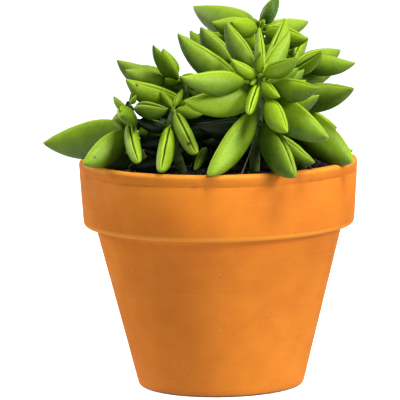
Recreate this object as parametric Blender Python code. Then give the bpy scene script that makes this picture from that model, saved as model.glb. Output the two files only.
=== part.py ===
"""A potted peperomia: a clay pot filled with soil, and a bushy plant of shoots with thick folded leaves.

Metres, +Z up. The origin is the centre of the pot's foot, and the plant's front faces -Y.
"""

import itertools
import math

import bmesh
import bpy
from mathutils import Euler, Matrix, Vector
from mathutils.bvhtree import BVHTree

MM = 0.001

# The pot, a turned clay flower pot with a deep rim band.
RIM_DIAMETER = 110 * MM
POT_HEIGHT = 90 * MM
BAND_HEIGHT = 26 * MM
BAND_TAPER = 1.6 * MM  # how much the band's radius shrinks from the lip to its lower edge
BAND_LEDGE = 4.6 * MM  # how far the band stands out from the body below it
FOOT_RADIUS = 32.5 * MM
WALL = 4.6 * MM
FLOOR = 6 * MM
EDGE_ROUND = 1.6 * MM
DRAIN_RADIUS = 6 * MM
POT_SIDES = 64
SHARP_ANGLE = math.radians(40)

# The soil, and the gap that every piece keeps to its neighbours.
GAP = 0.3 * MM
SOIL_BELOW_RIM = 5 * MM
SOIL_MOUND = 1.5 * MM
SOIL_RINGS = 3
SOIL_SIDES = 40

# The shoots: radius at the foot and at the tip.
STEM_FOOT_RADIUS = 2.1 * MM
STEM_TIP_RADIUS = 1.3 * MM
STEM_SIDES = 8

# The leaf: a folded, keeled blade with a groove along its upper edge and a short thick petiole.
LEAF_RINGS = 9
PETIOLE_SHARE = 0.07
PETIOLE_RADIUS_SHARE = 0.035
THICKNESS_SHARE = 0.19
THICKNESS_BASE = 1.0 * MM
UPPER_SHARE = 0.42  # of the depth above the line from petiole to tip
GROOVE_SHARE = 0.10  # of the depth
# Half of a cross-section, from the groove down to the keel: share of half the thickness, and share of the
# depth from the keel.
SECTION = ((0.0, 1.0), (0.22, 1.0), (0.80, 0.76), (1.0, 0.48), (0.66, 0.16), (0.0, 0.0))
# How bluntly each outline rises from the petiole and falls to the tip: a smaller power is blunter.
TOP_ARCH = (0.5, 0.85)
KEEL_ARCH = (0.6, 0.75)
CHEEK_ARCH = (0.5, 0.7)
GROOVE_ARCH = (0.3, 0.3)

# Each shoot's line in mm: its foot on the soil, then two bends and the tip with their heights above the rim.
SHOOTS = {
    "front": ((14, -20), (15, -27, 14), (17, -33, 28), (16, -37, 36)),
    "centre": ((6, -10), (9, -13, 15), (10, -15, 27), (10, -15, 33)),
    "top": ((14, 6), (16, 6, 25), (17, 4, 44), (17, 3, 53)),
    "right": ((24, -6), (27, -6, 14), (28, -5, 28), (29, -3, 38)),
    "left": ((-8, -2), (-9, -4, 15), (-13, -4, 25), (-15, -5, 31)),
    "low": ((-27, -12), (-31, -16, 6), (-34, -18, 16), (-34, -19, 23)),
    "mid": ((-14, -18), (-17, -21, 8), (-18, -23, 16), (-17, -24, 22)),
    "back": ((2, 20), (3, 24, 15), (4, 26, 30), (4, 27, 37)),
}

# Each leaf: shoot, height above the rim in mm, then azimuth (0 is -Y, 90 is +X), elevation and roll in
# degrees, and length and depth in mm. The first leaves keep their places, and later ones give way to them.
LEAVES = (
    ("front", 21, -38, -38, 22, 37, 11),
    ("front", 16, 18, -38, -33, 34, 12),
    ("front", 27, 50, -27, -24, 33, 12),
    ("front", 27, -63, 1, 0, 31, 11),
    ("front", 34, -18, -37, -25, 16, 6),
    ("front", 34, 29, -18, -15, 14, 5),
    ("front", 34, -50, 34, -30, 15, 5),
    ("front", 29, 31, -24, -41, 23, 8),
    ("front", 31, 47, 0, -8, 22, 9),
    ("front", 33, 48, 25, 30, 18, 7),
    ("front", 31, -57, 7, 0, 30, 9),
    ("front", 32, 130, 52, -7, 23, 7),
    ("front", 31, 151, 56, -17, 31, 8),
    ("front", 30, -62, 54, -40, 21, 8),
    ("front", 13, 50, -28, -13, 26, 9),
    ("centre", 28, -72, 41, -18, 33, 10),
    ("centre", 28, -88, 44, 0, 19, 9),
    ("centre", 31, -128, 40, 9, 30, 10),
    ("low", 12, -46, -21, 17, 26, 11),
    ("low", 13, -106, -8, 0, 35, 15),
    ("low", 17, 8, -27, 10, 26, 8),
    ("low", 20, -7, 5, 45, 21, 10),
    ("low", 22, 51, 3, 13, 17, 7),
    ("mid", 14, -8, -31, -5, 29, 9),
    ("mid", 21, 22, -36, 15, 25, 8),
    ("right", 20, 47, -32, -30, 36, 14),
    ("right", 23, 48, 11, -10, 32, 11),
    ("right", 32, 40, 30, 65, 20, 6),
    ("right", 35, 70, 1, -15, 22, 8),
    ("right", 35, 133, 11, 8, 26, 10),
    ("left", 18, -53, 26, -11, 32, 10),
    ("left", 29, -35, 44, -32, 22, 8),
    ("left", 27, -56, 20, 4, 18, 8),
    ("left", 25, -101, 27, 16, 28, 10),
    ("left", 28, -125, 26, 20, 17, 8),
    ("left", 29, -85, 66, 3, 12, 7),
    ("top", 50, -33, 13, 7, 19, 8),
    ("top", 50, -131, 12, 23, 33, 12),
    ("top", 50, -80, 10, 5, 17, 9),
    ("top", 45, -105, 20, -3, 23, 9),
    ("top", 49, 54, -4, -9, 21, 9),
    ("top", 49, 118, 8, 0, 20, 8),
    ("top", 48, 108, 60, -100, 12, 7),
    ("back", 34, -160, 35, 0, 22, 9),
    ("back", 32, 120, 25, 0, 26, 10),
    ("back", 28, 175, 10, 0, 30, 12),
    ("back", 23, -115, 5, 0, 30, 12),
    ("back", 20, 130, -10, 0, 33, 13),
    ("back", 16, -155, -15, 0, 33, 13),
    ("right", 16, 140, -12, 10, 30, 12),
)

# How a crowded leaf gives way: by turning either way, lifting or dropping, moving up or down its shoot,
# and sliding out along itself. Each has a step and a largest number of steps.
GIVE_TURN = math.radians(3)
GIVE_TURNS = 9
GIVE_LIFT = math.radians(3)
GIVE_LIFTS = 8
GIVE_CLIMB = 1.0 * MM
GIVE_CLIMBS = 3
GIVE_SLIDE = 1.0 * MM
GIVE_SLIDES = 6

# The line that tells whether a point lies inside a solid, and the step past each face that it crosses.
CROSSING_WAY = Vector((0.36, 0.48, 0.80))
CROSSING_STEP = 0.001 * MM

CLAY = (0.70, 0.24, 0.055)
CLAY_ROUGHNESS = 0.75
EARTH = (0.018, 0.013, 0.010)
EARTH_ROUGHNESS = 0.95
STEM_GREEN = (0.20, 0.34, 0.06)
STEM_ROUGHNESS = 0.5
YOUNG_GREEN = (0.26, 0.46, 0.05)
MATURE_GREEN = (0.13, 0.30, 0.025)
MATURE_LENGTH = 30 * MM
LEAF_ROUGHNESS = 0.42

RIM_RADIUS = RIM_DIAMETER / 2
BAND_FOOT_RADIUS = RIM_RADIUS - BAND_TAPER
BAND_BOTTOM = POT_HEIGHT - BAND_HEIGHT
NECK_RADIUS = BAND_FOOT_RADIUS - BAND_LEDGE
SOIL_EDGE_HEIGHT = POT_HEIGHT - SOIL_BELOW_RIM
LEAF_SIDES = 2 * (len(SECTION) - 1)


def clear_scene():
    for obj in list(bpy.data.objects):
        bpy.data.objects.remove(obj, do_unlink=True)


def material(name, colour, roughness):
    made = bpy.data.materials.new(name)
    made.use_nodes = True
    shader = made.node_tree.nodes["Principled BSDF"]
    shader.inputs["Base Color"].default_value = (*colour, 1.0)
    shader.inputs["Roughness"].default_value = roughness
    shader.inputs["Metallic"].default_value = 0.0
    return made


def add_object(name, bm, made, parent=None, location=(0, 0, 0), rotation=(0, 0, 0)):
    bmesh.ops.recalc_face_normals(bm, faces=bm.faces)
    mesh = bpy.data.meshes.new(name)
    bm.to_mesh(mesh)
    bm.free()
    mesh.materials.append(made)
    mesh.shade_smooth()
    mesh.set_sharp_from_angle(angle=SHARP_ANGLE)
    obj = bpy.data.objects.new(name, mesh)
    bpy.context.scene.collection.objects.link(obj)
    obj.parent = parent
    obj.location = location
    obj.rotation_euler = rotation
    return obj


def turned(profile, sides):
    """A bmesh turned about Z from (radius, height) points, which are a closed loop unless they start on Z."""
    bm = bmesh.new()
    points = [bm.verts.new((radius, 0, height)) for radius, height in profile]
    pairs = list(zip(points, points[1:]))
    if profile[0][0] > 0:
        pairs.append((points[-1], points[0]))
    edges = [bm.edges.new(pair) for pair in pairs]
    bmesh.ops.spin(
        bm,
        geom=points + edges,
        cent=(0, 0, 0),
        axis=(0, 0, 1),
        angle=math.tau,
        steps=sides,
        use_merge=True,
    )
    bmesh.ops.remove_doubles(bm, verts=bm.verts, dist=0.01 * MM)
    return bm


def rounded(corner, before, after, radius, steps=2):
    """Points of an arc that rounds a profile's corner between its two neighbours."""
    corner, before, after = Vector(corner), Vector(before), Vector(after)
    start = corner + (before - corner).normalized() * radius
    end = corner + (after - corner).normalized() * radius
    for step in range(steps + 1):
        t = step / steps
        yield tuple(start * (1 - t) ** 2 + corner * 2 * t * (1 - t) + end * t**2)


def inside_radius(height):
    """The radius of the pot's inside at a height: parallel to the body, then straight from neck to lip."""
    if height <= BAND_BOTTOM:
        return FOOT_RADIUS + (NECK_RADIUS - FOOT_RADIUS) * height / BAND_BOTTOM - WALL
    neck, lip = NECK_RADIUS - WALL, RIM_RADIUS - WALL
    return neck + (lip - neck) * (height - BAND_BOTTOM) / (POT_HEIGHT - EDGE_ROUND - BAND_BOTTOM)


def pot_bmesh():
    """The pot: its wall in section, from the drain hole out round the foot, band and lip to the inside."""
    foot, neck = (FOOT_RADIUS, 0), (NECK_RADIUS, BAND_BOTTOM)
    ledge = (BAND_FOOT_RADIUS, BAND_BOTTOM)
    lip, inside = (RIM_RADIUS, POT_HEIGHT), (RIM_RADIUS - WALL, POT_HEIGHT)
    below_inside = (RIM_RADIUS - WALL, BAND_BOTTOM)
    return turned(
        [
            (DRAIN_RADIUS, 0),
            *rounded(foot, (DRAIN_RADIUS, 0), neck, EDGE_ROUND),
            neck,
            *rounded(ledge, neck, lip, EDGE_ROUND),
            *rounded(lip, ledge, inside, EDGE_ROUND, steps=3),
            *rounded(inside, lip, below_inside, EDGE_ROUND),
            (inside_radius(BAND_BOTTOM), BAND_BOTTOM),
            (inside_radius(FLOOR), FLOOR),
            (DRAIN_RADIUS, FLOOR),
        ],
        POT_SIDES,
    )


def soil_height(radius):
    """The soil's surface, slightly mounded in the middle."""
    return SOIL_EDGE_HEIGHT + SOIL_MOUND * math.cos(math.pi / 2 * radius / RIM_RADIUS)


def soil_bmesh():
    """The soil: in section, from the middle of its bottom up its side and back over its surface."""
    bottom = FLOOR + GAP
    edge = inside_radius(SOIL_EDGE_HEIGHT) - GAP
    rings = [edge * (SOIL_RINGS - i) / SOIL_RINGS for i in range(SOIL_RINGS)]
    return turned(
        [
            (0, bottom),
            (inside_radius(bottom) - GAP, bottom),
            (inside_radius(BAND_BOTTOM) - GAP, BAND_BOTTOM),
            *((radius, soil_height(radius)) for radius in rings),
            (0, soil_height(0)),
        ],
        SOIL_SIDES,
    )


def shoot_line(name):
    """A shoot's points in metres, from its foot, a gap above the soil, to its tip."""
    foot, *rest = SHOOTS[name]
    foot = Vector((*foot, 0)) * MM
    foot.z = soil_height(foot.length) + GAP
    rim = Vector((0, 0, POT_HEIGHT))
    return [foot, *(rim + Vector(point) * MM for point in rest)]


def on_shoot(line, height):
    """The point of a shoot's line at a height."""
    for low, high in zip(line, line[1:]):
        if height <= high.z:
            break
    return low.lerp(high, (height - low.z) / (high.z - low.z))


def stem_bmesh(line):
    """A tapered stem with a level foot along a line that starts at the origin."""
    bm = bmesh.new()
    rings = []
    for i, point in enumerate(line):
        radius = STEM_FOOT_RADIUS + (STEM_TIP_RADIUS - STEM_FOOT_RADIUS) * i / (len(line) - 1)
        place = Matrix.Translation(point)
        ring = bmesh.ops.create_circle(bm, segments=STEM_SIDES, radius=radius, matrix=place)
        rings.append(ring["verts"])
    for low, high in zip(rings, rings[1:]):
        for i in range(STEM_SIDES):
            after = (i + 1) % STEM_SIDES
            bm.faces.new((low[i], low[after], high[after], high[i]))
    for ring in (rings[0], rings[-1]):
        bm.faces.new(ring)
    return bm


def arch(t, powers):
    """A curve that is 0 where t is 0 or 1, and 1 at its peak, with a power towards each end."""
    rise, fall = powers
    peak = rise / (rise + fall)
    return (t / peak) ** rise * ((1 - t) / (1 - peak)) ** fall


def leaf_point(along, side, length, depth):
    """A point of a leaf that runs from its petiole at the origin along +X, with its groove towards +Z.

    along runs from 0 to 1. side is a whole number round the section, from the groove at 0 to the keel.
    """
    half = LEAF_SIDES // 2
    across, up = SECTION[half - abs(half - side % LEAF_SIDES)]
    blade = max(0.0, (along - PETIOLE_SHARE) / (1 - PETIOLE_SHARE))
    petiole = PETIOLE_RADIUS_SHARE * length * (1 - along) * min(1.0, along / PETIOLE_SHARE)
    top = depth * UPPER_SHARE * arch(blade, TOP_ARCH) + petiole
    bottom = depth * (1 - UPPER_SHARE) * arch(blade, KEEL_ARCH) + petiole
    thick = (THICKNESS_BASE + THICKNESS_SHARE * length) / 2 * arch(blade, CHEEK_ARCH) + petiole
    groove = GROOVE_SHARE * depth * arch(blade, GROOVE_ARCH) if across == 0 and up == 1 else 0
    sign = 1 if side % LEAF_SIDES < half else -1
    return Vector((along * length, sign * across * thick, up * (top + bottom) - bottom - groove))


def leaf_bmesh(length, depth):
    """The leaf's closed surface: a sphere's rings moved onto the blade, closer together at its ends."""
    bm = bmesh.new()
    bmesh.ops.create_uvsphere(bm, u_segments=LEAF_SIDES, v_segments=LEAF_RINGS + 1, radius=1)
    for vert in bm.verts:
        latitude = math.acos(max(-1.0, min(1.0, vert.co.z))) / math.pi
        ease = (1 - math.cos(math.pi * latitude)) / 2
        side = round(math.atan2(vert.co.y, vert.co.x) / math.tau * LEAF_SIDES)
        vert.co = leaf_point((latitude + ease) / 2, side, length, depth)
    bmesh.ops.recalc_face_normals(bm, faces=bm.faces)
    return bm


def leaf_turn(azimuth, elevation, roll):
    """The rotation that points a leaf's +X to an azimuth and an elevation, rolled about itself."""
    turn = Euler((0, -elevation, azimuth - math.pi / 2)).to_matrix()
    return turn @ Matrix.Rotation(roll, 3, "X")


def solid_of(obj):
    """An object's triangles in the pot's frame, as (points, faces)."""
    bpy.context.view_layer.update()
    bm = bmesh.new()
    bm.from_mesh(obj.data)
    bmesh.ops.triangulate(bm, faces=bm.faces)
    points = [obj.matrix_world @ vert.co for vert in bm.verts]
    faces = [[vert.index for vert in face.verts] for face in bm.faces]
    bm.free()
    return points, faces


def tree_of(solids):
    """One search tree over several solids."""
    points, faces = [], []
    for solid_points, solid_faces in solids:
        first = len(points)
        points += solid_points
        faces += [[first + i for i in face] for face in solid_faces]
    return BVHTree.FromPolygons(points, faces, all_triangles=True)


def holds(tree, point):
    """Whether a tree's closed solids hold a point, by how often a line from it crosses them."""
    crossings = 0
    hit = tree.ray_cast(point, CROSSING_WAY)[0]
    while hit:
        crossings += 1
        hit = tree.ray_cast(hit + CROSSING_WAY * CROSSING_STEP, CROSSING_WAY)[0]
    return crossings % 2 == 1


def ways_to_give():
    """Every way a leaf may give way, the smallest first: steps of (turn, lift, climb, slide)."""
    either = [range(-most, most + 1) for most in (GIVE_TURNS, GIVE_LIFTS, GIVE_CLIMBS)]
    ways = itertools.product(*either, range(GIVE_SLIDES + 1))
    tip_move = GIVE_TURN * MATURE_LENGTH / GIVE_SLIDE
    return sorted(ways, key=lambda way: (math.hypot(way[0] * tip_move, way[1] * tip_move, *way[2:]), way))


def settled(bm, line, height, angles, placed, ways):
    """The first location and rotation of a leaf on its shoot that keep the gap to all that is placed."""
    azimuth, elevation, roll = angles
    tree = tree_of(placed)
    bm.normal_update()
    faces = [[vert.index for vert in face.verts] for face in bm.faces]
    swollen = [vert.co + vert.normal * GAP for vert in bm.verts]
    for turn, lift, climb, slide in ways:
        rotation = leaf_turn(azimuth + GIVE_TURN * turn, elevation + GIVE_LIFT * lift, roll)
        start = on_shoot(line, height + GIVE_CLIMB * climb)
        start = start + rotation @ Vector((STEM_FOOT_RADIUS + GAP + GIVE_SLIDE * slide, 0, 0))
        points = [start + rotation @ point for point in swollen]
        tried = BVHTree.FromPolygons(points, faces)
        if tree.overlap(tried) or holds(tree, points[0]):
            continue
        if not any(holds(tried, solid_points[0]) for solid_points, _ in placed):
            return start, rotation.to_euler()
    raise RuntimeError(f"no room for a leaf at {height / MM:.0f} mm")


def leaf_colour(length):
    """A leaf's green, from a young leaf's to a mature one's as it grows."""
    age = min(1.0, length / MATURE_LENGTH)
    return [young + (mature - young) * age for young, mature in zip(YOUNG_GREEN, MATURE_GREEN)]


def main():
    clear_scene()
    pot = add_object("pot", pot_bmesh(), material("pot", CLAY, CLAY_ROUGHNESS))
    soil = add_object("soil", soil_bmesh(), material("soil", EARTH, EARTH_ROUGHNESS), pot)
    placed = [solid_of(pot), solid_of(soil)]
    lines = {name: shoot_line(name) for name in SHOOTS}
    stems = {}
    for name, line in lines.items():
        bm = stem_bmesh([point - line[0] for point in line])
        made = material(f"stem_{name}", STEM_GREEN, STEM_ROUGHNESS)
        stems[name] = add_object(f"stem_{name}", bm, made, soil, line[0])
        placed.append(solid_of(stems[name]))
    ways = ways_to_give()
    counts = dict.fromkeys(SHOOTS, 0)
    for shoot, above_rim, *angles, length, depth in LEAVES:
        counts[shoot] += 1
        name = f"leaf_{shoot}_{counts[shoot]:02d}"
        bm = leaf_bmesh(length * MM, depth * MM)
        height = POT_HEIGHT + above_rim * MM
        angles = [math.radians(angle) for angle in angles]
        location, rotation = settled(bm, lines[shoot], height, angles, placed, ways)
        made = material(name, leaf_colour(length * MM), LEAF_ROUGHNESS)
        leaf = add_object(name, bm, made, stems[shoot], location - lines[shoot][0], rotation)
        placed.append(solid_of(leaf))


main()
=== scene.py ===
"""The looks of a potted peperomia: a clay flower pot, its soil, and a bushy plant of thick folded leaves.

Laid out as an add-on and run as a script. Metres, +Z up, and the plant's front faces -Y.
"""

import math
import random
from collections import namedtuple

import bmesh
import bpy
from bpy.props import FloatProperty, FloatVectorProperty, IntProperty, PointerProperty
from mathutils import Matrix, Vector, noise
from mathutils.bvhtree import BVHTree


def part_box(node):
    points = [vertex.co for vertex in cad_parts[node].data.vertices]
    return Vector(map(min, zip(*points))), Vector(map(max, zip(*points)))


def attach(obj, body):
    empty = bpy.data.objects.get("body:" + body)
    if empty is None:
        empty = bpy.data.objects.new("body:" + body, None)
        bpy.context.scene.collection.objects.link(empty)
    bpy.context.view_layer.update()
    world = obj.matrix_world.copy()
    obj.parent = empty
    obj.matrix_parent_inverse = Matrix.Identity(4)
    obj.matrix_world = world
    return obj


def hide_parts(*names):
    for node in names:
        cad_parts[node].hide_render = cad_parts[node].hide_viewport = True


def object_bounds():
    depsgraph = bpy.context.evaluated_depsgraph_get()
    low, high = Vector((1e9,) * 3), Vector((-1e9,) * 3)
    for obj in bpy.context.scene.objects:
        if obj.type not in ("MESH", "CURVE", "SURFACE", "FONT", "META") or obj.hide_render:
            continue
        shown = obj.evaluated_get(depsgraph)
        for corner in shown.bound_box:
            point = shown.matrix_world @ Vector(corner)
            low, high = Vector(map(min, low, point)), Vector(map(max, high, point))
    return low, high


bl_info = {
    "name": "Potted Peperomia",
    "version": (1, 0, 0),
    "blender": (4, 5, 0),
    "location": "3D View > Sidebar > Peperomia",
    "description": "Builds a clay pot, its soil and a peperomia with folded leaves",
    "category": "Object",
}

MM = 0.001

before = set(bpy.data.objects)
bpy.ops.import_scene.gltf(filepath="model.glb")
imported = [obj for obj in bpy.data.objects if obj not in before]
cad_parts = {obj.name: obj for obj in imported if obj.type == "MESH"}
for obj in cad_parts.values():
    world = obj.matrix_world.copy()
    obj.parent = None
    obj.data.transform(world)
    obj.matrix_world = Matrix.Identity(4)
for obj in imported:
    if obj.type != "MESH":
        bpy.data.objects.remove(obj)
CAD_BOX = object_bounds()
POT_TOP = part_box("pot")[1]
SHOOTS = [name[len("stem_"):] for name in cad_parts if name.startswith("stem_")]

# A leaf's fold, in shares and in powers of its arches.
NECK_SHARE = 0.12  # of the rings, along the petiole
PETIOLE_SHARE = 0.035  # of the length, its radius
UPPER_SHARE = 0.42  # of the depth, above the line from petiole to tip
TOP_ARCH = (0.42, 0.92, 0.66)  # powers towards the petiole, a sharp tip and a blunt tip
KEEL_ARCH = (0.58, 0.80, 0.58)
CHEEK_ARCH = (0.34, 0.60, 0.38)
GROOVE_ARCH = (0.12, 0.40)
SLIT_WIDTH = 0.09  # of half a turn, for a groove of 1
VALLEY_WIDTH = 0.32  # of half a turn, the dip round the slit
LIP_PLACE = 2.3  # slit widths from the middle
SLIT_SINK, VALLEY_SINK, LIP_RISE = 0.10, 0.055, 0.012  # of the depth
SINK_DEPTH = 13 * MM  # a deeper leaf's groove is no deeper
BLUNT_FROM, BLUNT_OVER = 0.3, 0.2  # how steeply a leaf hangs where its tip gets blunt
WAVE, GRAIN = (260, 0.014), (900, 0.004)  # the skin's unevenness: how fine, and its share of the thickness
YOUNG_THICKNESS, YOUNG_THICKNESS_SHARE = 1.0, 0.19  # in mm, and of the length
DEEP_SHADE = -0.7  # the tone of leaves deep inside the plant
WAVER_SHIFTS = ((0.0, 0.0, 0.0), (31.4, 15.9, 26.5), (-35.8, 97.9, -32.3))  # far enough apart to differ
LEAF_LAYERS = ("tone", "bloom", "lip", "groove", "height")

LeafForm = namedtuple("LeafForm", "base turn length depth thickness reach")
LeafLook = namedtuple(
    "LeafLook", "tone bloom groove lean fat deep", defaults=(0.5, 0.3, 1.0, 0.42, 0.92, 0.95)
)

# Each shoot's leaves by number, as a LeafLook's values: how bright, how dusted with bloom and how wide open
# they are. The others take these from their length.
LEAF_LOOKS = {
    "front": (
        (0.66, 0.35, 1.5, 0.0, 0.85, 0.84), (0.12, 0.40, 1.1, 0.45, 0.82, 0.86), (0.45, 0.20, 0.9, 0.12),
        (0.86, 0.20, 0.8), (0.85, 0.10, 1.5), (0.80, 0.10, 1.0), (0.80, 0.10, 1.0), (0.85, 0.10, 1.0),
        (0.48, 0.25, 0.9), (0.62, 0.15, 0.9), (0.48, 0.20, 0.8), (0.80, 0.15, 1.0), (0.70, 0.15, 1.2),
        (0.36, 0.25, 0.8), (0.22, 0.30, 0.9),
    ),
    "centre": (
        (0.36, 0.25, 0.9), (0.30, 0.25, 0.9),
    ),
    "low": (
        (0.52, 0.35, 0.9, 0.12), (0.42, 0.30, 0.8, 0.1), (0.36, 0.30, 1.2, 0.42, 0.85), (0.42, 0.25, 1.3),
        (0.34, 0.40, 2.0),
    ),
    "mid": (
        (0.56, 0.35, 1.1, 0.3, 0.85, 0.9), (0.42, 0.80, 1.2, 0.42, 0.88, 0.9),
    ),
    "right": (
        (0.38, 0.30, 0.8, 0.0), (0.40, 0.70, 0.8), (0.66, 0.20, 1.3), (0.48, 0.45, 0.9), (0.26, 0.70, 0.8),
    ),
    "left": (
        (0.64, 0.25, 1.2), (0.36, 0.30, 0.9, 0.42, 0.75, 0.66), (0.40, 0.95, 0.9), (0.30, 0.45, 0.9),
    ),
    "top": (
        (0.62, 0.30, 0.8), (0.46, 0.50, 0.8), None, None, (0.60, 0.20, 1.0), (0.60, 0.25, 1.0),
        (0.55, 0.20, 1.0, 0.2, 1.6),
    ),
}

# Buds and young leaves on the shoots: height above the rim in mm, azimuth (0 is -Y, 90 is +X), elevation and
# roll in degrees, length and depth in mm.
YOUNG_LEAVES = {
    "front": (
        (36, 8, 54, -113, 11, 4), (36, 10, 12, -40, 4, 2.2), (36, -40, -30, -20, 4.5, 2.4),
        (34, 179, 69, 32, 20, 5), (36, 120, 50, 60, 5, 2.4), (27, 105, 18, 0, 18, 8),
    ),
    "centre": (
        (33, -60, 65, 0, 9, 4), (33, 100, 60, 20, 7, 3), (29, -121, 36, -16, 31, 9), (24, 65, 10, 0, 22, 9),
    ),
    "top": (
        (51, 10, 22, 150, 7, 4), (51, -50, 34, 140, 6, 3.5), (47, 64, -21, -3, 16, 6),
        (51, 88, -9, 11, 12, 6), (44, -35, 22, 0, 13, 7), (40, 35, 18, 0, 14, 7),
    ),
    "right": ((38, 20, 60, 0, 6, 2.6), (38, -130, 50, 20, 7, 3), (36, 160, 24, 19, 22, 9)),
    "left": ((30, -34, 17, -42, 9, 5), (31, 42, 19, -27, 9, 5), (31, -60, 70, 0, 6, 3)),
    "low": (
        (23, 149, 70, 8, 5, 2.5), (23, 40, 50, 28, 5, 2.5), (20, -148, -27, -16, 16, 9),
        (11, 120, 12, 0, 20, 9),
    ),
    "mid": (
        (22, 55, -4, 1, 13, 5), (22, -140, 40, 0, 9, 4), (22, 150, 45, 0, 9, 4), (12, -125, 12, 0, 18, 9),
    ),
    "back": ((37, 20, 60, 0, 8, 3.5), (37, 160, 60, 0, 8, 3.5)),
}


# Shader maths.


class Field:
    """A node's output that takes part in arithmetic: each operation adds a Math node."""

    def __init__(self, graph, socket):
        self.graph, self.socket = graph, socket

    def math(self, operation, *values):
        return self.graph.add("ShaderNodeMath", {"operation": operation}, dict(enumerate(values)))

    def __add__(self, other):
        return self.math("ADD", self, other)

    __radd__ = __add__

    def __sub__(self, other):
        return self.math("SUBTRACT", self, other)

    def __rsub__(self, other):
        return self.math("SUBTRACT", other, self)

    def __mul__(self, other):
        return self.math("MULTIPLY", self, other)

    __rmul__ = __mul__

    def __abs__(self):
        return self.math("ABSOLUTE", self)

    def step(self, low, high):
        """0 below low and 1 above high, smooth between them; falling where low is the larger."""
        inputs = {"Value": self, "From Min": low, "From Max": high}
        return self.graph.add("ShaderNodeMapRange", {"interpolation_type": "SMOOTHSTEP"}, inputs)


class Graph:
    """A material's nodes, added one at a time round its Principled shader."""

    def __init__(self, name):
        self.material = bpy.data.materials.new(name)
        self.material.use_nodes = True
        self.tree = self.material.node_tree
        self.shader = self.tree.nodes["Principled BSDF"]

    def add(self, kind, settings=None, inputs=None, output=0):
        """A node of a type, its settings first and then its inputs' values or links."""
        node = self.tree.nodes.new(kind)
        for key, value in (settings or {}).items():
            setattr(node, key, value)
        for key, value in (inputs or {}).items():
            self.feed(node.inputs[key], value)
        return Field(self, node.outputs[output])

    def feed(self, socket, value):
        if isinstance(value, Field):
            self.tree.links.new(value.socket, socket)
        else:
            socket.default_value = value

    def surface(self, **inputs):
        """Feeds the shader. An input's name is written with _ for its spaces."""
        for key, value in inputs.items():
            self.feed(self.shader.inputs[key.replace("_", " ")], value)

    def vector_math(self, operation, *values, output="Vector"):
        return self.add("ShaderNodeVectorMath", {"operation": operation}, dict(enumerate(values)), output)

    def place(self, stretch=None):
        """Object coordinates, stretched along the axes."""
        here = self.add("ShaderNodeTexCoord", output="Object")
        return self.vector_math("MULTIPLY", here, stretch) if stretch else here

    def axes(self, vector):
        """A vector's three numbers."""
        node = self.add("ShaderNodeSeparateXYZ", inputs={0: vector}).socket.node
        return [Field(self, socket) for socket in node.outputs]

    def noise(self, vector, scale, detail=3.0, roughness=0.55):
        inputs = {"Vector": vector, "Scale": scale, "Detail": detail, "Roughness": roughness}
        return self.add("ShaderNodeTexNoise", inputs=inputs)

    def dots(self, vector, scale, size, share):
        """Round dots: one in some of a pattern's cells, of a size in cells."""
        cells = self.add("ShaderNodeTexVoronoi", inputs={"Vector": vector, "Scale": scale})
        node = cells.socket.node
        pick = self.axes(Field(self, node.outputs["Color"]))[0].step(1 - share, 1 - share + 0.02)
        return cells.step(size, size * 0.5) * pick

    def attribute(self, name):
        return self.add("ShaderNodeAttribute", {"attribute_name": name}, output="Fac")

    def mix(self, factor, first, second):
        """One colour over another by a factor."""
        first, second = (end if isinstance(end, Field) else (*end[:3], 1.0) for end in (first, second))
        return self.add("ShaderNodeMix", {"data_type": "RGBA"}, {0: factor, 6: first, 7: second}, output=2)

    def distance(self, vector, point):
        return self.vector_math("DISTANCE", vector, point, output="Value")

    def bump(self, height, distance, strength):
        inputs = {"Height": height, "Distance": distance, "Strength": strength}
        return self.add("ShaderNodeBump", inputs=inputs)


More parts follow.
